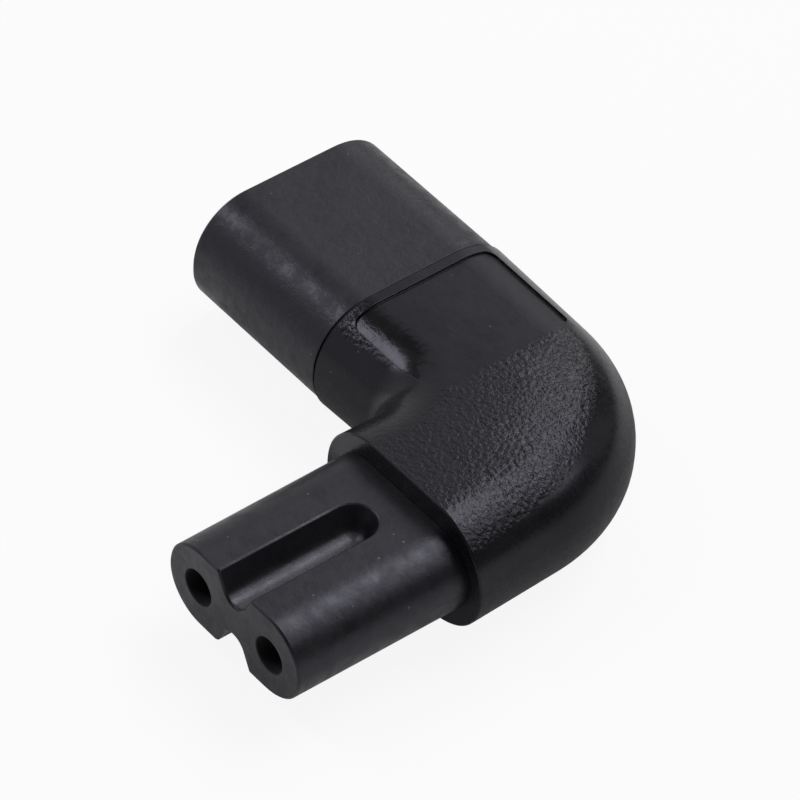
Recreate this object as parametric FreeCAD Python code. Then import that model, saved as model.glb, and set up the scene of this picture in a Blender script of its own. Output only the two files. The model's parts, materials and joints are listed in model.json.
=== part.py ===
import FreeCAD, Part
import math
import os

# Right-angle adapter for figure-eight mains leads: a connector nose on one arm, a two-pin inlet on the other.
# Sizes in millimetres. The two arms' axes cross at a point; a reach is a distance from that point along an arm.

# Contacts
contact_pitch = 8.6
pin_diameter = 2.36
pin_standing_length = 10.0
pin_tip_diameter = 1.4
pin_tip_length = 0.9
pin_shank_diameter = 2.8
pin_tail_length = 3.0
sleeve_bore_diameter = 2.40
sleeve_wall = 0.40
sleeve_length = 11.0
sleeve_floor = 1.0
sleeve_slit_width = 0.5
sleeve_slit_length = 8.0
sleeve_lead_in = 0.2
sleeve_pocket_clearance = 0.05
sleeve_neck_diameter = 2.5
sleeve_tail_length = 1.0

# Link strips inside the elbow
strip_width = 1.6
strip_thickness = 0.8
strip_bend_radius = 1.0
strip_seat_depth = 2.5

# Connector nose
collar_reach = 14.5
nose_length = 16.05
nose_width = 15.75
nose_height = 7.55
nose_side_draft = 0.12
nose_face_chamfer = 0.15
hole_diameter = 3.05
hole_edge_break = 0.1
sleeve_setback = 3.0
groove_waist = 3.0
groove_floor_radius = 1.3
groove_wall_lean_deg = 27.0
groove_length = 13.1
groove_edge_chamfer = 0.1
nose_root_depth = 4.5
nose_root_inset = 0.4
nose_flange_lip = 0.5
nose_flange_thickness = 1.5

# Inlet shell
seam_reach = 17.25
inlet_length = 15.6
inlet_width = 19.2
inlet_height = 10.8
inlet_side_flat = 0.5
inlet_rim_chamfer = 0.25
recess_width = 16.2
recess_height = 8.0
recess_depth = 13.0
recess_edge_break = 0.4
recess_rib_radius = 1.5
recess_rib_height = 1.35
recess_rib_setback = 1.0
inlet_root_depth = 5.75
inlet_root_inset = 0.95
root_groove_depth = 0.7
root_groove_width = 1.6
root_groove_offset = 2.0

# Elbow overmould
seam_step_side = 0.15
seam_step_top = 0.35
collar_land = 1.305
elbow_side_flat = 0.3
elbow_taper_deg = 2.1
outer_bend_radius = 15.6
inner_bend_radius = 1.6
collar_rim_chamfer = 0.12
seam_rim_chamfer = 0.3
field_seam_margin = 1.2
field_length = 9.75
field_width = 14.0
field_depth = 0.2
field_corner_round = 0.8

# Worked-out sizes
nose_reach = collar_reach + nose_length
inlet_reach = seam_reach + inlet_length
recess_floor_reach = inlet_reach - recess_depth
nose_root_reach = collar_reach - nose_root_depth
inlet_root_reach = seam_reach - inlet_root_depth
sleeve_front_reach = nose_reach - sleeve_setback
sleeve_back_reach = sleeve_front_reach - sleeve_length
pin_tail_reach = inlet_root_reach - pin_tail_length
sleeve_tail_reach = nose_root_reach - sleeve_tail_length
half_pitch = contact_pitch / 2
pin_radius = pin_diameter / 2
pin_shank_radius = pin_shank_diameter / 2
sleeve_bore_radius = sleeve_bore_diameter / 2
sleeve_radius = sleeve_bore_radius + sleeve_wall
sleeve_neck_radius = sleeve_neck_diameter / 2
inlet_corner_round = (inlet_height - inlet_side_flat) / 2
elbow_height = inlet_height + 2 * seam_step_top
elbow_seam_width = inlet_width + 2 * seam_step_side
elbow_collar_width = nose_width + 2 * nose_side_draft + 2 * collar_land
elbow_edge_round = (elbow_height - elbow_side_flat) / 2
groove_wall_lean = math.radians(groove_wall_lean_deg)
groove_tip = groove_waist / 2 - groove_floor_radius * (1 / math.sin(groove_wall_lean) - 1)
groove_mouth_half = (nose_height / 2 - groove_tip) * math.tan(groove_wall_lean)
past = 1.0

V = FreeCAD.Vector
UP = V(0, 0, 1)


# Outlines and solids in an arm's own frame: X across the arm, Y up, Z outwards along the arm

def rounded_outline(corners):
    """Closed flat wire through corners (x, y, radius), each rounded by a tangent arc."""
    points = [V(x, y, 0) for x, y, radius in corners]
    count = len(points)
    runs = []
    for i in range(count):
        radius = corners[i][2]
        to_last = (points[i - 1] - points[i]).normalize()
        to_next = (points[(i + 1) % count] - points[i]).normalize()
        half_angle = to_last.getAngle(to_next) / 2
        setback = radius / math.tan(half_angle)
        middle = (to_last + to_next).normalize() * (radius / math.sin(half_angle) - radius)
        runs.append((points[i] + to_last * setback, points[i] + middle, points[i] + to_next * setback))
    edges = []
    for i in range(count):
        first, middle, last = runs[i]
        if first.distanceToPoint(last) > 1e-6:
            edges.append(Part.Arc(first, middle, last).toShape())
        start_of_next = runs[(i + 1) % count][0]
        if last.distanceToPoint(start_of_next) > 1e-6:
            edges.append(Part.LineSegment(last, start_of_next).toShape())
    return Part.Wire(edges)


def oblong(width, height, radius):
    """Rectangle about the arm's axis with rounded corners; a radius of half the height makes round ends."""
    x = width / 2
    y = height / 2
    return rounded_outline([(x, y, radius), (-x, y, radius), (-x, -y, radius), (x, -y, radius)])


def faceted(width, height):
    """Rectangle about the arm's axis with its corners cut off, inside the oblong of the same size."""
    x = width / 2
    y = height / 2
    cut = y * (2 - math.sqrt(2))
    corners = [(x, y - cut), (x - cut, y), (cut - x, y), (-x, y - cut),
               (-x, cut - y), (cut - x, -y), (x - cut, -y), (x, cut - y)]
    return rounded_outline([(a, b, 0) for a, b in corners])


def prism(wire, low, high):
    face = Part.Face(wire)
    face.translate(UP * low)
    return face.extrude(UP * (high - low))


def rod(radius, low, high, x=0.0, y=0.0):
    return Part.makeCylinder(radius, high - low, V(x, y, low), UP)


def box(x_low, x_high, y_low, y_high, z_low, z_high):
    return Part.makeBox(x_high - x_low, y_high - y_low, z_high - z_low, V(x_low, y_low, z_low))


def rounded_edges(shape, radius, chosen):
    """Round every edge for which chosen(edge's box) holds."""
    return shape.makeFillet(radius, [edge for edge in shape.Edges if chosen(edge.BoundBox)])


def chamfered_edges(shape, size, chosen):
    """Chamfer every edge for which chosen(edge's box) holds."""
    return shape.makeChamfer(size, [edge for edge in shape.Edges if chosen(edge.BoundBox)])


def lies_at(box_of_edge, reach):
    """True for an edge in the plane across the arm at this reach."""
    return abs(box_of_edge.ZMin - reach) < 1e-4 and abs(box_of_edge.ZMax - reach) < 1e-4


# The two arms' places: the nose points along -Y, the inlet along -X

def on_nose_arm(shape):
    placed = shape.copy()
    placed.rotate(V(0, 0, 0), V(1, 0, 0), 90)
    return placed


def on_inlet_arm(shape):
    placed = on_nose_arm(shape)
    placed.rotate(V(0, 0, 0), UP, -90)
    return placed


# Connector nose

def nose_section(reach):
    """The nose's round-ended section, which widens with the draft from the face to the collar."""
    width = nose_width + 2 * nose_side_draft * (nose_reach - reach) / nose_length
    section = oblong(width, nose_height, nose_height / 2)
    section.translate(UP * reach)
    return section


def groove_profile():
    """Section of the upper groove: leaning walls and a round floor, open past the nose's flat top."""
    top = nose_height / 2 + past
    half = (top - groove_tip) * math.tan(groove_wall_lean)
    return rounded_outline([(half, top, 0), (-half, top, 0), (0, groove_tip, groove_floor_radius)])


def nose_groove():
    """Cutter for the upper groove: open at the nose's face, and the section turned about its far end."""
    end_reach = nose_reach - groove_length + groove_mouth_half
    profile = Part.Face(groove_profile())
    profile.translate(UP * end_reach)
    run = profile.extrude(UP * (nose_reach + past - end_reach))
    half_profile = profile.common(box(0, nose_width, 0, nose_height, end_reach - past, end_reach + past))
    end = half_profile.revolve(V(0, 0, end_reach), V(0, 1, 0), 180)
    return run.fuse(end).removeSplitter()


def is_groove_mouth(box_of_edge):
    """True for the long edges and the end arc where a groove meets the nose's flat top or underside."""
    inside_width = max(-box_of_edge.XMin, box_of_edge.XMax) < groove_mouth_half + 1e-3
    on_flat = min(abs(box_of_edge.YMin), abs(box_of_edge.YMax)) > nose_height / 2 - 1e-4
    return inside_width and on_flat and box_of_edge.ZLength > groove_edge_chamfer


def connector_nose():
    body = Part.makeLoft([nose_section(collar_reach), nose_section(nose_reach)], True, True)
    groove = nose_groove()
    body = body.cut([groove, groove.mirror(V(0, 0, 0), V(0, 1, 0))])
    body = chamfered_edges(body, groove_edge_chamfer, is_groove_mouth)
    body = chamfered_edges(body, nose_face_chamfer, lambda edge: lies_at(edge, nose_reach))
    root_width = nose_width - 2 * nose_root_inset
    root_height = nose_height - 2 * nose_root_inset
    root = prism(faceted(root_width, root_height), nose_root_reach, collar_reach)
    flange = prism(faceted(nose_width + 2 * nose_flange_lip, nose_height + 2 * nose_flange_lip),
                   nose_root_reach, nose_root_reach + nose_flange_thickness)
    body = body.multiFuse([root, flange])
    pocket_radius = sleeve_radius + sleeve_pocket_clearance
    for x in (-half_pitch, half_pitch):
        hole = rod(hole_diameter / 2, sleeve_front_reach, nose_reach + past, x)
        edge_break = Part.makeCone(hole_diameter / 2, hole_diameter / 2 + hole_edge_break + past,
                                   hole_edge_break + past, V(x, 0, nose_reach - hole_edge_break), UP)
        pocket = rod(pocket_radius, sleeve_back_reach, sleeve_front_reach, x)
        neck = rod(sleeve_neck_radius, nose_root_reach - past, sleeve_back_reach, x)
        body = body.cut([hole, edge_break, pocket, neck])
    return body.removeSplitter()


def strip_seat(x, tail_reach):
    """Cutter for the socket in a contact's tail that holds a link strip's end."""
    return box(x - strip_width / 2, x + strip_width / 2, -strip_thickness / 2, strip_thickness / 2,
               tail_reach, tail_reach + strip_seat_depth)


def contact_sleeve(x):
    """Split tube that grips a pin, with a neck behind it that holds the link strip's end."""
    bore_floor = sleeve_back_reach + sleeve_floor
    body = rod(sleeve_radius, sleeve_back_reach, sleeve_front_reach, x)
    neck = rod(sleeve_neck_radius, sleeve_tail_reach, sleeve_back_reach, x)
    bore = rod(sleeve_bore_radius, bore_floor, sleeve_front_reach, x)
    lead_in = Part.makeCone(sleeve_bore_radius, sleeve_bore_radius + sleeve_lead_in, sleeve_lead_in,
                            V(x, 0, sleeve_front_reach - sleeve_lead_in), UP)
    side = math.copysign(1.0, x)
    slit_ends = sorted((x, x + side * (sleeve_radius + past)))
    slit = box(slit_ends[0], slit_ends[1], -sleeve_slit_width / 2, sleeve_slit_width / 2,
               sleeve_front_reach - sleeve_slit_length, sleeve_front_reach + past)
    return body.fuse(neck).cut([bore, lead_in, slit, strip_seat(x, sleeve_tail_reach)]).removeSplitter()


# Inlet

def inlet_pin(x):
    """Round pin with a tapered tip, on a thicker shank that holds the link strip's end."""
    taper_reach = recess_floor_reach + pin_standing_length - pin_tip_length
    body = rod(pin_radius, recess_floor_reach, taper_reach, x)
    tip = Part.makeCone(pin_radius, pin_tip_diameter / 2, pin_tip_length, V(x, 0, taper_reach), UP)
    shank = rod(pin_shank_radius, pin_tail_reach, recess_floor_reach, x)
    return body.multiFuse([tip, shank]).cut(strip_seat(x, pin_tail_reach))


def inlet_shell():
    outside = oblong(inlet_width, inlet_height, inlet_corner_round)
    body = prism(outside, seam_reach, inlet_reach)
    body = chamfered_edges(body, inlet_rim_chamfer, lambda edge: lies_at(edge, inlet_reach))
    recess = prism(oblong(recess_width, recess_height, recess_height / 2), recess_floor_reach, inlet_reach + past)
    mouth_low = oblong(recess_width, recess_height, recess_height / 2)
    mouth_low.translate(UP * (inlet_reach - recess_edge_break))
    mouth_high = oblong(recess_width + 2 * recess_edge_break, recess_height + 2 * recess_edge_break,
                        recess_height / 2 + recess_edge_break)
    mouth_high.translate(UP * inlet_reach)
    mouth = Part.makeLoft([mouth_low, mouth_high], True, True)
    body = body.cut([recess, mouth])
    rib_centre = recess_height / 2 + recess_rib_radius - recess_rib_height
    rib_top = inlet_reach - recess_rib_setback
    for y in (-rib_centre, rib_centre):
        rib = rod(recess_rib_radius, recess_floor_reach, rib_top, 0, y)
        body = body.fuse(rib.common(prism(outside, recess_floor_reach, rib_top)))
    root_width = inlet_width - 2 * inlet_root_inset
    root_height = inlet_height - 2 * inlet_root_inset
    root = prism(faceted(root_width, root_height), inlet_root_reach, seam_reach)
    groove_low = seam_reach - root_groove_offset - root_groove_width
    groove_high = seam_reach - root_groove_offset
    groove = prism(faceted(root_width + past, root_height + past), groove_low, groove_high)
    groove_core = prism(faceted(root_width - 2 * root_groove_depth, root_height - 2 * root_groove_depth),
                        groove_low, groove_high)
    body = body.fuse(root.cut(groove.cut(groove_core)))
    shanks = [rod(pin_shank_radius, inlet_root_reach - past, recess_floor_reach + past, x)
              for x in (-half_pitch, half_pitch)]
    return body.cut(shanks).removeSplitter()


# Link strips: flat stampings that turn the corner from a pin's tail to a sleeve's tail

def link_strip(side):
    """Strip on one side of the bend: side is +1 outside the bend and -1 inside it."""
    half = strip_width / 2
    corner = side * half_pitch
    pin_end = -pin_tail_reach - strip_seat_depth
    sleeve_end = -sleeve_tail_reach - strip_seat_depth
    outline = rounded_outline([
        (pin_end, corner - half, 0),
        (pin_end, corner + half, 0),
        (corner + half, corner + half, strip_bend_radius + strip_width),
        (corner + half, sleeve_end, 0),
        (corner - half, sleeve_end, 0),
        (corner - half, corner - half, strip_bend_radius),
    ])
    return prism(outline, -strip_thickness / 2, strip_thickness / 2)


# Elbow overmould

def elbow_outline(inset):
    """Plan of the elbow: two tapering arms, a wide outer bend and a small inner one."""
    slope = math.tan(math.radians(elbow_taper_deg))
    seam_half = elbow_seam_width / 2 - inset
    collar_half = elbow_collar_width / 2 - inset
    outer_x = (collar_half - slope * (collar_reach + seam_half - slope * seam_reach)) / (1 + slope * slope)
    outer_y = seam_half - slope * (seam_reach + outer_x)
    inner_x = (-collar_half + slope * (collar_reach - seam_half + slope * seam_reach)) / (1 - slope * slope)
    inner_y = -seam_half + slope * (seam_reach + inner_x)
    return rounded_outline([
        (-seam_reach, -seam_half, 0),
        (-seam_reach, seam_half, 0),
        (outer_x, outer_y, outer_bend_radius - inset),
        (collar_half, -collar_reach, 0),
        (-collar_half, -collar_reach, 0),
        (inner_x, inner_y, inner_bend_radius + inset),
    ])


def elbow_form(inset):
    """The elbow's outer form, or the same form drawn inwards all round its section."""
    half_height = elbow_height / 2 - inset
    form = prism(elbow_outline(inset), -half_height, half_height)

    def runs_along(edge):
        at_seam = abs(edge.XMax + seam_reach) < 1e-4
        at_collar = abs(edge.YMax + collar_reach) < 1e-4
        return edge.ZLength < 1e-4 and not at_seam and not at_collar

    return rounded_edges(form, elbow_edge_round - inset, runs_along)


def marking_field():
    """Cutter for the shallow field on top, whose floor follows the elbow's rounded section."""
    x_low = -seam_reach + field_seam_margin
    x_high = x_low + field_length
    half = field_width / 2
    round_ = field_corner_round
    outline = rounded_outline([(x_low, -half, round_), (x_high, -half, round_), (x_high, half, round_),
                               (x_low, half, round_)])
    return prism(outline, 0, elbow_height).cut(elbow_form(field_depth))


def elbow_overmould(held):
    """The overmould, cut face to face by the pieces that it is moulded round."""
    body = elbow_form(0)
    body = chamfered_edges(body, collar_rim_chamfer,
                           lambda edge: abs(edge.YMax + collar_reach) < 1e-4 and edge.YLength < 1e-4)
    body = chamfered_edges(body, seam_rim_chamfer,
                           lambda edge: abs(edge.XMax + seam_reach) < 1e-4 and edge.XLength < 1e-4)
    body = body.cut(marking_field())
    return body.cut(held)


# The whole part, moved so that its origin is at the middle of its underside

def build():
    parts = {
        "connector_nose": on_nose_arm(connector_nose()),
        "inlet_shell": on_inlet_arm(inlet_shell()),
    }
    for name, side in (("outer", 1), ("inner", -1)):
        parts["inlet_pin_" + name] = on_inlet_arm(inlet_pin(-side * half_pitch))
        parts["contact_sleeve_" + name] = on_nose_arm(contact_sleeve(side * half_pitch))
        parts["link_strip_" + name] = link_strip(side)
    parts["elbow_overmould"] = elbow_overmould(list(parts.values()))
    whole = Part.makeCompound(list(parts.values())).optimalBoundingBox(False, False)
    to_origin = V(-whole.Center.x, -whole.Center.y, -whole.ZMin)
    for shape in parts.values():
        shape.translate(to_origin)
    return parts


os.makedirs("parts", exist_ok=True)
for node, solid in build().items():
    solid.exportStep("parts/" + node + ".step")
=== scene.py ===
import json
import math

import bpy
from mathutils import Matrix, Vector

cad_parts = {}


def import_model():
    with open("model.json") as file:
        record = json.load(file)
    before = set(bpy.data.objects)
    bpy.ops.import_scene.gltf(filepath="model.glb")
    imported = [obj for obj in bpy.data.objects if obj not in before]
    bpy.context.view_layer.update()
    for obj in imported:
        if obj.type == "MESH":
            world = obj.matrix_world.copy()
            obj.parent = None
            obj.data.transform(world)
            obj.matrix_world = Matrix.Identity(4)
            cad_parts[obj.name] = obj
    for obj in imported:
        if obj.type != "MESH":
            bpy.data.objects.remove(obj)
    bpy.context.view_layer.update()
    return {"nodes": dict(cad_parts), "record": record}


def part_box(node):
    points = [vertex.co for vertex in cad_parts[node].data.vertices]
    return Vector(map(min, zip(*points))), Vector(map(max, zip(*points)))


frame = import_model()

# Lengths in metres, in the frame of the CAD model. The arms' axes cross at the elbow's centre.
MM = 0.001
nose_low, nose_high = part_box("connector_nose")
shell_low, shell_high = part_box("inlet_shell")
elbow_low, elbow_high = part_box("elbow_overmould")
ELBOW_CENTRE = Vector(((nose_low.x + nose_high.x) / 2,
                       (shell_low.y + shell_high.y) / 2,
                       (elbow_low.z + elbow_high.z) / 2))

# The smooth zone on the elbow's top, which is the marking field and a little past its inner end:
# from the elbow's centre along the inlet's arm
FIELD_NEAR = -5.6 * MM
FIELD_FAR = -16.05 * MM
FIELD_HALF_WIDTH = 7.0 * MM
FIELD_EDGE = 0.25 * MM

# The elbow's end faces: by the inlet's shell along the inlet's arm, and round the nose along the nose's arm
SEAM_FACE = -17.25 * MM
SEAM_CHAMFER = 0.3 * MM
COLLAR_FACE = -14.5 * MM

# The elbow's top falls away slightly towards the outside of the bend, between two distances from the bend's axis
BEND_AXIS = -5.8 * MM
CROWN_START = 5.5 * MM
CROWN_END = 12.5 * MM
CROWN_FALL = 0.75 * MM

# The inner corner between the arms, along both arms from the elbow's centre
INNER_CORNER = -9.5 * MM

# Where the elbow's look changes, from and to. Along is the inlet's arm and across is the nose's arm.
CROWN_ALONG = (FIELD_NEAR - 0.3 * MM, FIELD_NEAR + 2.0 * MM)
CROWN_ACROSS = (-8.5 * MM, -3.0 * MM)
BELOW_FIELD = (0.0, -1.0 * MM)
FIELD_GLOSS_ACROSS = (-5.5 * MM, 5.5 * MM)
FIELD_RIM_ACROSS = (-4.8 * MM, -6.0 * MM)
SEAM_GRAIN_ACROSS = (-4.5 * MM, -6.0 * MM)
COLLAR_GRAIN_ACROSS = (COLLAR_FACE + 0.05 * MM, COLLAR_FACE + 0.25 * MM)
ARM_GRAIN_ALONG = (-9.0 * MM, -11.0 * MM)
# The seam's chamfer, which gets painted shade
SEAM_SHADE_ALONG = (SEAM_FACE + SEAM_CHAMFER, SEAM_FACE + SEAM_CHAMFER + 0.08 * MM)
BEND_GRAIN_OUTWARDS = (-8.0 * MM, 0.0)
GRAIN_FROM_CORNER = (3.0 * MM, 5.5 * MM)
WALL_GRAIN_UP = (5.0 * MM, 5.6 * MM)
WALL_DULLING_DOWN = (4.5 * MM, 2.0 * MM)
# The nose's arm gets thinner by this much of its length
ARM_TAPER = 0.12

# The elbow's grain
WRINKLE_SIZE = 0.30 * MM
PEBBLE_SIZE = 0.40 * MM
PEBBLE_SHARE = 0.8
GRAIN_DEPTH = (0.003 * MM, 0.075 * MM)

# The contact holes in the nose's face
HOLE_OFFSET = 4.3 * MM
HOLE_RADIUS = 1.525 * MM
HOLE_EDGE = (HOLE_RADIUS + 0.02 * MM, HOLE_RADIUS + 0.12 * MM)

# The painted highlight on the floor of the nose's grooves: heights from the nose's axis, distances from a hole's
# axis, and along the nose
GROOVE_FLOOR = 1.5 * MM
HIGHLIGHT_BELOW = (GROOVE_FLOOR + 0.45 * MM, GROOVE_FLOOR + 0.20 * MM)
HIGHLIGHT_ABOVE = (GROOVE_FLOOR - 0.10 * MM, GROOVE_FLOOR - 0.05 * MM)
HIGHLIGHT_BETWEEN_HOLES = (-2.6 * MM, -3.0 * MM)
HIGHLIGHT_BEHIND_FACE = (nose_low.y + 0.15 * MM, nose_low.y + 0.40 * MM)

# Camera: the photograph is 800 pixels square, and the elbow's centre shows at AIM_PIXEL
PHOTO_PIXELS = 800
FOCAL_PIXELS = 5547.3
AIM_PIXEL = (550.25, 449.63)
CAMERA_AZIMUTH = 49.176
CAMERA_ELEVATION = 44.011
CAMERA_ROLL = 3.139
CAMERA_DISTANCE = 424.9 * MM
CAMERA_CLIP = 0.01
SENSOR_WIDTH = 36.0

# Softboxes: name, azimuth and elevation in degrees from the elbow, width, height and distance, strength
SOFTBOXES = [
    ("softbox_top", 178, 62, 0.40, 0.40, 0.80, 4.6),
    ("softbox_left", 301, 48, 0.22, 0.30, 0.80, 5.6),
    ("softbox_right", 140, 46, 0.32, 0.36, 0.80, 2.2),
    ("strip_back", 206, 36, 0.21, 0.56, 0.80, 2.9),
    ("wall_back", 241, 27, 0.62, 0.70, 0.80, 0.60),
    ("wall_left", 308, 20, 1.20, 0.50, 0.80, 0.52),
    ("wall_far", 168, 24, 0.30, 0.32, 0.80, 0.30),
]
WORLD_GREY = 0.05
FLOOR_SIZE = 3.0
FLOOR_WHITE = 0.9
FLOOR_MOTTLE = 0.99
FLOOR_MOTTLE_SIZE = 60 * MM
FLOOR_ROUGHNESS = 0.9
# How much of the floor and the world is plain white where the camera sees them, and in reflections
GLOW_SEEN = 0.90
FLOOR_GLOW_MIRRORED = 0.26
WORLD_GLOW_MIRRORED = 0.05

# The usual range of a noise texture's values, the narrower one for smudges, and their middle
NOISE_RANGE = (0.3, 0.7)
SMUDGE_RANGE = (0.35, 0.65)
NOISE_MIDDLE = 0.5

# Colours: the plastics' darkest and palest black, and the slight blue of their gleam
BLACK = ((0.0075, 0.0075, 0.0088), (0.0105, 0.0105, 0.0122))
SHELL_BLACK = ((0.0080, 0.0080, 0.0094), (0.0110, 0.0110, 0.0128))
# Painted shade for the seam's chamfer
SEAM_PAINTED_SHADE = (0.002, 0.002, 0.0024)
HOLE_BLACK = (0.020, 0.020, 0.022)
# Painted highlight for the floor of the nose's grooves
GROOVE_HIGHLIGHT_GREY = (0.10, 0.10, 0.11)
DUST = (0.11, 0.11, 0.12)
COOL = (0.84, 0.83, 1.0, 1.0)
SOFT_GLOSS = 0.33
HARD_GLOSS = 0.5
BEVEL_SAMPLES = 6


def direction(azimuth, elevation):
    """Unit vector from the elbow: azimuth 0 looks from the nose's end (-Y) and 90 from +X."""
    a = math.radians(azimuth)
    e = math.radians(elevation)
    return Vector((math.sin(a) * math.cos(e), -math.cos(a) * math.cos(e), math.sin(e)))


# Node helpers

class Graph:
    """A new material's node tree, or another tree, with short calls for the nodes used here."""

    def __init__(self, name=None, tree=None):
        if name is not None:
            self.material = bpy.data.materials.new(name)
            self.material.use_nodes = True
            tree = self.material.node_tree
            self.shader = tree.nodes["Principled BSDF"]
            self.output = tree.nodes["Material Output"]
            self.place = tree.nodes.new("ShaderNodeTexCoord").outputs["Object"]
        self.nodes = tree.nodes
        self.links = tree.links

    def put(self, socket, value):
        """Link an output to a socket, or set the socket's own value."""
        if isinstance(value, bpy.types.NodeSocket):
            self.links.new(value, socket)
        else:
            socket.default_value = value

    def math(self, operation, a, b=0.0):
        """Result of one operation on one or two numbers."""
        node = self.nodes.new("ShaderNodeMath")
        node.operation = operation
        self.put(node.inputs[0], a)
        self.put(node.inputs[1], b)
        return node.outputs[0]

    def fold(self, operation, result, *others):
        """Result of the same operation on several numbers in turn."""
        for other in others:
            result = self.math(operation, result, other)
        return result

    def length(self, a, b):
        """Length of the vector (a, b)."""
        return self.math("SQRT", self.math("ADD", self.math("MULTIPLY", a, a), self.math("MULTIPLY", b, b)))

    def between(self, share, first, second):
        """Number from first to second as share goes from 0 to 1."""
        step = self.math("MULTIPLY", self.math("SUBTRACT", second, first), share)
        return self.math("ADD", step, first)

    def axes(self):
        """Coordinates of the shaded point."""
        node = self.nodes.new("ShaderNodeSeparateXYZ")
        self.links.new(self.place, node.inputs[0])
        return node.outputs[0], node.outputs[1], node.outputs[2]

    def noise(self, size, detail=3.0, roughness=0.55, distortion=0.0):
        """Noise whose features are about size metres across."""
        node = self.nodes.new("ShaderNodeTexNoise")
        self.links.new(self.place, node.inputs["Vector"])
        node.inputs["Scale"].default_value = 1.0 / size
        node.inputs["Detail"].default_value = detail
        node.inputs["Roughness"].default_value = roughness
        node.inputs["Distortion"].default_value = distortion
        return node.outputs["Fac"]

    def cells(self, size, smoothness=0.6):
        """Soft-edged cells about size metres across."""
        node = self.nodes.new("ShaderNodeTexVoronoi")
        node.feature = "SMOOTH_F1"
        self.links.new(self.place, node.inputs["Vector"])
        node.inputs["Scale"].default_value = 1.0 / size
        node.inputs["Smoothness"].default_value = smoothness
        return node.outputs["Distance"]

    def specks(self, spacing, radius, share):
        """1 in round specks of about this radius, in a share of the cells that are spacing metres apart."""
        node = self.nodes.new("ShaderNodeTexVoronoi")
        self.links.new(self.place, node.inputs["Vector"])
        node.inputs["Scale"].default_value = 1.0 / spacing
        pick = self.nodes.new("ShaderNodeSeparateColor")
        self.links.new(node.outputs["Color"], pick.inputs[0])
        chosen = self.math("LESS_THAN", pick.outputs[0], share)
        size = self.math("MULTIPLY", self.math("ADD", pick.outputs[1], 0.5), radius / spacing)
        return self.math("MULTIPLY", chosen, self.math("LESS_THAN", node.outputs["Distance"], size))

    def ramp(self, value, low, high, at_low=0.0, at_high=1.0):
        """Smooth step from at_low to at_high as value goes from low to high."""
        node = self.nodes.new("ShaderNodeMapRange")
        node.interpolation_type = "SMOOTHSTEP"
        self.put(node.inputs["Value"], value)
        node.inputs["From Min"].default_value = low
        node.inputs["From Max"].default_value = high
        node.inputs["To Min"].default_value = at_low
        node.inputs["To Max"].default_value = at_high
        return node.outputs["Result"]

    def blend(self, share, first, second):
        """Colour from first to second as share goes from 0 to 1. Each is a colour or another node's output."""
        node = self.nodes.new("ShaderNodeMix")
        node.data_type = "RGBA"
        self.put(node.inputs[0], share)
        for socket, value in ((node.inputs[6], first), (node.inputs[7], second)):
            self.put(socket, (*value, 1.0) if isinstance(value, tuple) else value)
        return node.outputs[2]

    def turn(self, share, first, second):
        """Normal from first to second as share goes from 0 to 1."""
        node = self.nodes.new("ShaderNodeMix")
        node.data_type = "VECTOR"
        self.put(node.inputs[0], share)
        self.links.new(first, node.inputs[4])
        self.links.new(second, node.inputs[5])
        return node.outputs[1]

    def colours(self, value, low, high):
        """Colour from low to high as a noise value goes over its usual range."""
        return self.blend(self.ramp(value, *NOISE_RANGE), low, high)

    def bump(self, height, depth, strength=1.0, normal=None):
        """Normal with a bump: height times depth is in metres, on top of another normal."""
        node = self.nodes.new("ShaderNodeBump")
        self.put(node.inputs["Height"], height)
        node.inputs["Distance"].default_value = depth
        self.put(node.inputs["Strength"], strength)
        if normal is not None:
            self.links.new(normal, node.inputs["Normal"])
        return node.outputs["Normal"]

    def soft_edges(self, radius):
        """Normal that rounds the part's edges by this radius."""
        node = self.nodes.new("ShaderNodeBevel")
        node.samples = BEVEL_SAMPLES
        node.inputs["Radius"].default_value = radius
        return node.outputs["Normal"]

    def finish(self, **sockets):
        """Put values on the shader's sockets, with _ for a space in a socket's name."""
        for name, value in sockets.items():
            self.put(self.shader.inputs[name.replace("_", " ")], value)
        return self.material


# Materials

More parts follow.
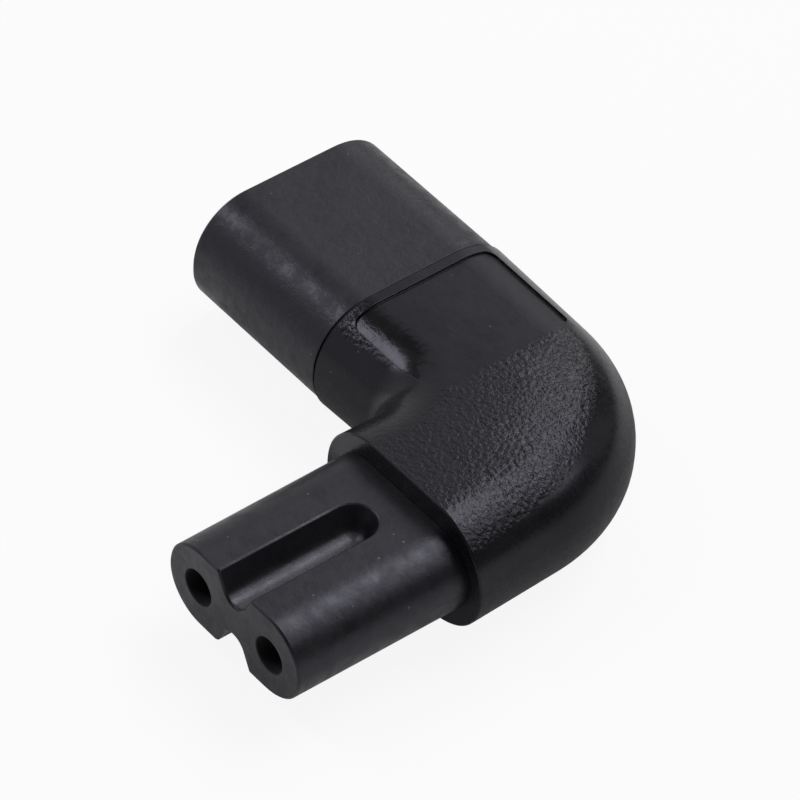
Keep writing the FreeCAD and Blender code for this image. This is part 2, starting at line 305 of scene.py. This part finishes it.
def overmould():
    """Black soft PVC with a spark-eroded grain, which is faint or absent in the marking field, on the walls,
    on the collar's end face and at the inner corner."""
    g = Graph("overmould_pvc")
    x, y, z = g.axes()
    along = g.math("SUBTRACT", x, ELBOW_CENTRE.x)
    across = g.math("SUBTRACT", y, ELBOW_CENTRE.y)
    rise = g.math("SUBTRACT", z, ELBOW_CENTRE.z)
    reach = g.math("SUBTRACT", rise, g.math("MULTIPLY", g.math("MINIMUM", across, 0.0), ARM_TAPER))
    outwards = g.math("MULTIPLY", g.math("ADD", along, across), math.sqrt(0.5))

    # Off the field to any side. By the seam only the part towards the nose has grain.
    past_field = g.ramp(along, FIELD_NEAR - FIELD_EDGE, FIELD_NEAR + FIELD_EDGE)
    beside_field = g.ramp(g.math("ABSOLUTE", across), FIELD_HALF_WIDTH - FIELD_EDGE, FIELD_HALF_WIDTH + FIELD_EDGE)
    below_field = g.ramp(rise, *BELOW_FIELD)
    before_field = g.math("MULTIPLY", g.ramp(along, FIELD_FAR + FIELD_EDGE, FIELD_FAR - FIELD_EDGE),
                          g.ramp(across, *SEAM_GRAIN_ACROSS))
    off_field = g.fold("MAXIMUM", past_field, beside_field, below_field, before_field)

    # The grain's share of its full depth
    field_rim = g.ramp(across, *FIELD_RIM_ACROSS, at_high=0.25)
    corner_x = g.math("SUBTRACT", along, INNER_CORNER)
    corner_y = g.math("SUBTRACT", across, INNER_CORNER)
    off_corner = g.ramp(g.length(corner_x, corner_y), *GRAIN_FROM_CORNER, at_low=0.2)
    by_bend = g.math("MAXIMUM", g.ramp(outwards, *BEND_GRAIN_OUTWARDS, at_low=0.4), g.ramp(along, *ARM_GRAIN_ALONG))
    off_wall = g.ramp(reach, *WALL_GRAIN_UP, at_low=0.08)
    off_end_face = g.ramp(across, *COLLAR_GRAIN_ACROSS)
    share = g.fold("MULTIPLY", g.math("MAXIMUM", off_field, field_rim), off_corner, by_bend, off_wall, off_end_face)
    pebbles = g.cells(PEBBLE_SIZE)
    wrinkles = g.noise(WRINKLE_SIZE, detail=2.0, roughness=0.5, distortion=0.8)
    grain = g.math("SUBTRACT", wrinkles, g.math("MULTIPLY", pebbles, PEBBLE_SHARE))
    grain_depth = g.ramp(share, 0.0, 1.0, *GRAIN_DEPTH)

    # The normal: the crown outside the bend, slight waves in the field, and the grain
    out_x = g.math("MAXIMUM", g.math("SUBTRACT", along, BEND_AXIS), 0.0)
    out_y = g.math("MAXIMUM", g.math("SUBTRACT", across, BEND_AXIS), 0.0)
    fall = g.ramp(g.length(out_x, out_y), CROWN_START, CROWN_END, 0.0, -CROWN_FALL)
    crown = g.bump(fall, depth=1.0, normal=g.soft_edges(0.08 * MM))
    crowned = g.math("MULTIPLY", g.ramp(along, *CROWN_ALONG), g.ramp(across, *CROWN_ACROSS, at_low=0.1))
    wavy = g.math("SUBTRACT", g.noise(1.4 * MM, detail=2.0), NOISE_MIDDLE)
    waves = g.math("MULTIPLY", wavy, g.math("SUBTRACT", 1.0, off_field))
    form = g.bump(waves, depth=0.035 * MM, normal=g.turn(crowned, g.soft_edges(0.08 * MM), crown))
    normal = g.bump(g.math("MULTIPLY", grain, grain_depth), depth=1.0, normal=form)

    # Colour and roughness, with painted shade on the seam's chamfer: near black and fully rough there, standing in
    # for the shade of a gap
    shade = g.noise(2.5 * MM, detail=2.0)
    off_seam_shade = g.ramp(along, *SEAM_SHADE_ALONG)
    speck = g.specks(spacing=1.3 * MM, radius=0.06 * MM, share=0.35)
    dusty = g.blend(speck, g.colours(shade, *BLACK), DUST)
    colour = g.blend(off_seam_shade, SEAM_PAINTED_SHADE, dusty)
    side_roughness = g.math("ADD", g.ramp(wrinkles, *NOISE_RANGE, at_low=0.20, at_high=0.30),
                            g.ramp(reach, *WALL_DULLING_DOWN, at_high=0.30))
    field_roughness = g.math("ADD", g.ramp(shade, *NOISE_RANGE, at_high=0.07),
                             g.ramp(across, *FIELD_GLOSS_ACROSS, at_low=0.15, at_high=0.38))
    roughness = g.between(off_seam_shade, 1.0, g.between(off_field, field_roughness, side_roughness))
    return g.finish(Base_Color=colour, Roughness=roughness, Normal=normal, Specular_IOR_Level=SOFT_GLOSS,
                    Specular_Tint=COOL)


def satin(g, shade, smudge, low, high, smudged):
    """Roughness from low to high, to which smudges add up to smudged."""
    return g.math("ADD", g.ramp(shade, *NOISE_RANGE, at_low=low, at_high=high),
                  g.ramp(smudge, *SMUDGE_RANGE, at_high=smudged))


def nose_plastic():
    """Black hard plastic with a fine satin face, dull in the contact holes, with a painted highlight in pale grey on
    the grooves' floors.
    """
    g = Graph("nose_hard_plastic")
    x, y, z = g.axes()
    off_axis = g.math("SUBTRACT", g.math("ABSOLUTE", g.math("SUBTRACT", x, ELBOW_CENTRE.x)), HOLE_OFFSET)
    rise = g.math("SUBTRACT", z, ELBOW_CENTRE.z)
    outside_hole = g.ramp(g.length(off_axis, rise), *HOLE_EDGE)
    height = g.math("ABSOLUTE", rise)
    groove_highlight = g.fold("MULTIPLY", g.ramp(height, *HIGHLIGHT_BELOW), g.ramp(height, *HIGHLIGHT_ABOVE),
                  g.ramp(off_axis, *HIGHLIGHT_BETWEEN_HOLES), g.ramp(y, *HIGHLIGHT_BEHIND_FACE))
    shade = g.noise(3.0 * MM)
    fine = g.noise(0.12 * MM, detail=2.0)
    smudge = g.noise(1.3 * MM, detail=4.0, roughness=0.65)
    speck = g.specks(spacing=1.2 * MM, radius=0.065 * MM, share=0.3)
    specked = g.blend(speck, g.colours(shade, *BLACK), DUST)
    # Painted highlight: pale grey on the grooves' floors, broken up by fine noise
    highlight_share = g.math("MULTIPLY", groove_highlight, g.ramp(fine, *NOISE_RANGE, at_low=0.4))
    colour = g.blend(outside_hole, HOLE_BLACK, g.blend(highlight_share, specked, GROOVE_HIGHLIGHT_GREY))
    roughness = g.between(outside_hole, 1.0, satin(g, shade, smudge, low=0.29, high=0.37, smudged=0.13))
    form = g.bump(smudge, depth=0.042 * MM, normal=g.soft_edges(0.12 * MM))
    normal = g.bump(fine, depth=0.008 * MM, strength=0.35, normal=form)
    return g.finish(Base_Color=colour, Roughness=roughness, Normal=normal, Specular_IOR_Level=HARD_GLOSS,
                    Specular_Tint=COOL)


def shell_plastic():
    """Black hard plastic, smooth and matte, with a few pale specks."""
    g = Graph("shell_hard_plastic")
    shade = g.noise(4.0 * MM)
    fine = g.noise(0.15 * MM, detail=2.0)
    smudge = g.noise(1.1 * MM, roughness=0.65)
    speck = g.specks(spacing=1.1 * MM, radius=0.045 * MM, share=0.6)
    colour = g.blend(speck, g.colours(shade, *SHELL_BLACK), DUST)
    roughness = satin(g, shade, smudge, low=0.33, high=0.41, smudged=0.12)
    form = g.bump(smudge, depth=0.055 * MM, normal=g.soft_edges(0.15 * MM))
    normal = g.bump(fine, depth=0.016 * MM, strength=0.4, normal=form)
    return g.finish(Base_Color=colour, Roughness=roughness, Normal=normal, Specular_IOR_Level=HARD_GLOSS,
                    Specular_Tint=COOL)


def metal(name, low, high, roughness):
    """Plated or rolled metal, slightly mottled and finely rough."""
    g = Graph(name)
    shade = g.noise(0.6 * MM)
    fine = g.noise(0.06 * MM, detail=2.0)
    colour = g.colours(shade, low, high)
    rough = g.ramp(shade, *NOISE_RANGE, at_low=roughness, at_high=roughness + 0.1)
    normal = g.bump(fine, depth=0.004 * MM, strength=0.3)
    return g.finish(Base_Color=colour, Roughness=rough, Metallic=1.0, Normal=normal)


NICKEL = metal("pin_nickel", (0.60, 0.59, 0.56), (0.72, 0.71, 0.68), 0.22)
BRASS = metal("sleeve_brass", (0.70, 0.53, 0.26), (0.82, 0.66, 0.38), 0.30)
LINK_BRASS = metal("link_brass", (0.70, 0.50, 0.24), (0.84, 0.64, 0.36), 0.34)
MATERIAL_OF_SLOT = {
    "overmould": overmould(),
    "nose_plastic": nose_plastic(),
    "shell_plastic": shell_plastic(),
    "pin_metal": NICKEL,
    "sleeve_metal": BRASS,
    "link_metal": LINK_BRASS,
}
for subpart in frame["record"]["subparts"]:
    piece = frame["nodes"][subpart["node"]]
    piece.data.materials.clear()
    piece.data.materials.append(MATERIAL_OF_SLOT[subpart["material_slot"]])


# Floor and world: nearly plain white where the camera sees them, with the object's shadow kept on the floor

def white_share(g, in_reflections):
    """Share of plain white for camera rays, and for glossy and transmission rays."""
    rays = g.nodes.new("ShaderNodeLightPath").outputs
    mirrored = g.math("MAXIMUM", rays["Is Glossy Ray"], rays["Is Transmission Ray"])
    return g.math("MAXIMUM", g.math("MULTIPLY", rays["Is Camera Ray"], GLOW_SEEN),
                  g.math("MULTIPLY", mirrored, in_reflections))


def floor_material():
    """White floor, part of which glows for the camera and in reflections."""
    g = Graph("white_floor")
    mottle = g.noise(FLOOR_MOTTLE_SIZE, detail=2.0)
    colour = g.colours(mottle, (FLOOR_WHITE,) * 3, (FLOOR_WHITE * FLOOR_MOTTLE,) * 3)
    g.finish(Base_Color=colour, Roughness=FLOOR_ROUGHNESS)
    glow = g.nodes.new("ShaderNodeEmission")
    mix = g.nodes.new("ShaderNodeMixShader")
    g.links.new(white_share(g, FLOOR_GLOW_MIRRORED), mix.inputs[0])
    g.links.new(g.shader.outputs[0], mix.inputs[1])
    g.links.new(glow.outputs[0], mix.inputs[2])
    g.links.new(mix.outputs[0], g.output.inputs["Surface"])
    return g.material


def floor():
    """Square floor at the part's underside."""
    half = FLOOR_SIZE / 2
    corners = [(-half, -half, 0), (half, -half, 0), (half, half, 0), (-half, half, 0)]
    mesh = bpy.data.meshes.new("floor")
    mesh.from_pydata(corners, [], [(0, 1, 2, 3)])
    plane = bpy.data.objects.new("floor", mesh)
    bpy.context.scene.collection.objects.link(plane)
    mesh.materials.append(floor_material())


def world():
    """Dim surroundings, white behind the object."""
    sky = bpy.data.worlds.new("studio")
    bpy.context.scene.world = sky
    sky.use_nodes = True
    g = Graph(tree=sky.node_tree)
    colour = g.blend(white_share(g, WORLD_GLOW_MIRRORED), (WORLD_GREY,) * 3, (1.0,) * 3)
    g.put(g.nodes["Background"].inputs["Color"], colour)


def softbox(name, azimuth, elevation, width, height, distance, strength):
    """Area light of uniform radiance strength that faces the elbow, its height upright."""
    light = bpy.data.lights.new(name, "AREA")
    light.shape = "RECTANGLE"
    light.size = width
    light.size_y = height
    light.energy = strength * math.pi * width * height
    lamp = bpy.data.objects.new(name, light)
    towards = direction(azimuth, elevation)
    lamp.location = ELBOW_CENTRE + towards * distance
    lamp.rotation_euler = towards.to_track_quat("Z", "Y").to_euler()
    bpy.context.scene.collection.objects.link(lamp)


def camera():
    """The photograph's camera, from the pixel where the elbow's centre shows."""
    back = direction(CAMERA_AZIMUTH, CAMERA_ELEVATION)
    level = Vector((math.cos(math.radians(CAMERA_AZIMUTH)), math.sin(math.radians(CAMERA_AZIMUTH)), 0))
    upright = back.cross(level)
    roll = math.radians(CAMERA_ROLL)
    right = level * math.cos(roll) + upright * math.sin(roll)
    up = upright * math.cos(roll) - level * math.sin(roll)
    middle = PHOTO_PIXELS / 2
    metres_per_pixel = CAMERA_DISTANCE / FOCAL_PIXELS
    sideways = right * (AIM_PIXEL[0] - middle) * metres_per_pixel
    downwards = up * (AIM_PIXEL[1] - middle) * metres_per_pixel
    offset = sideways - downwards
    data = bpy.data.cameras.new("camera")
    data.sensor_width = SENSOR_WIDTH
    data.lens = FOCAL_PIXELS / PHOTO_PIXELS * SENSOR_WIDTH
    data.clip_start = CAMERA_CLIP
    view = bpy.data.objects.new("camera", data)
    turn = Matrix((right, up, back)).transposed().to_4x4()
    view.matrix_world = Matrix.Translation(ELBOW_CENTRE + back * CAMERA_DISTANCE - offset) @ turn
    bpy.context.scene.collection.objects.link(view)
    bpy.context.scene.camera = view


floor()
world()
for box in SOFTBOXES:
    softbox(*box)
camera()
bpy.context.scene.view_settings.view_transform = "Standard"
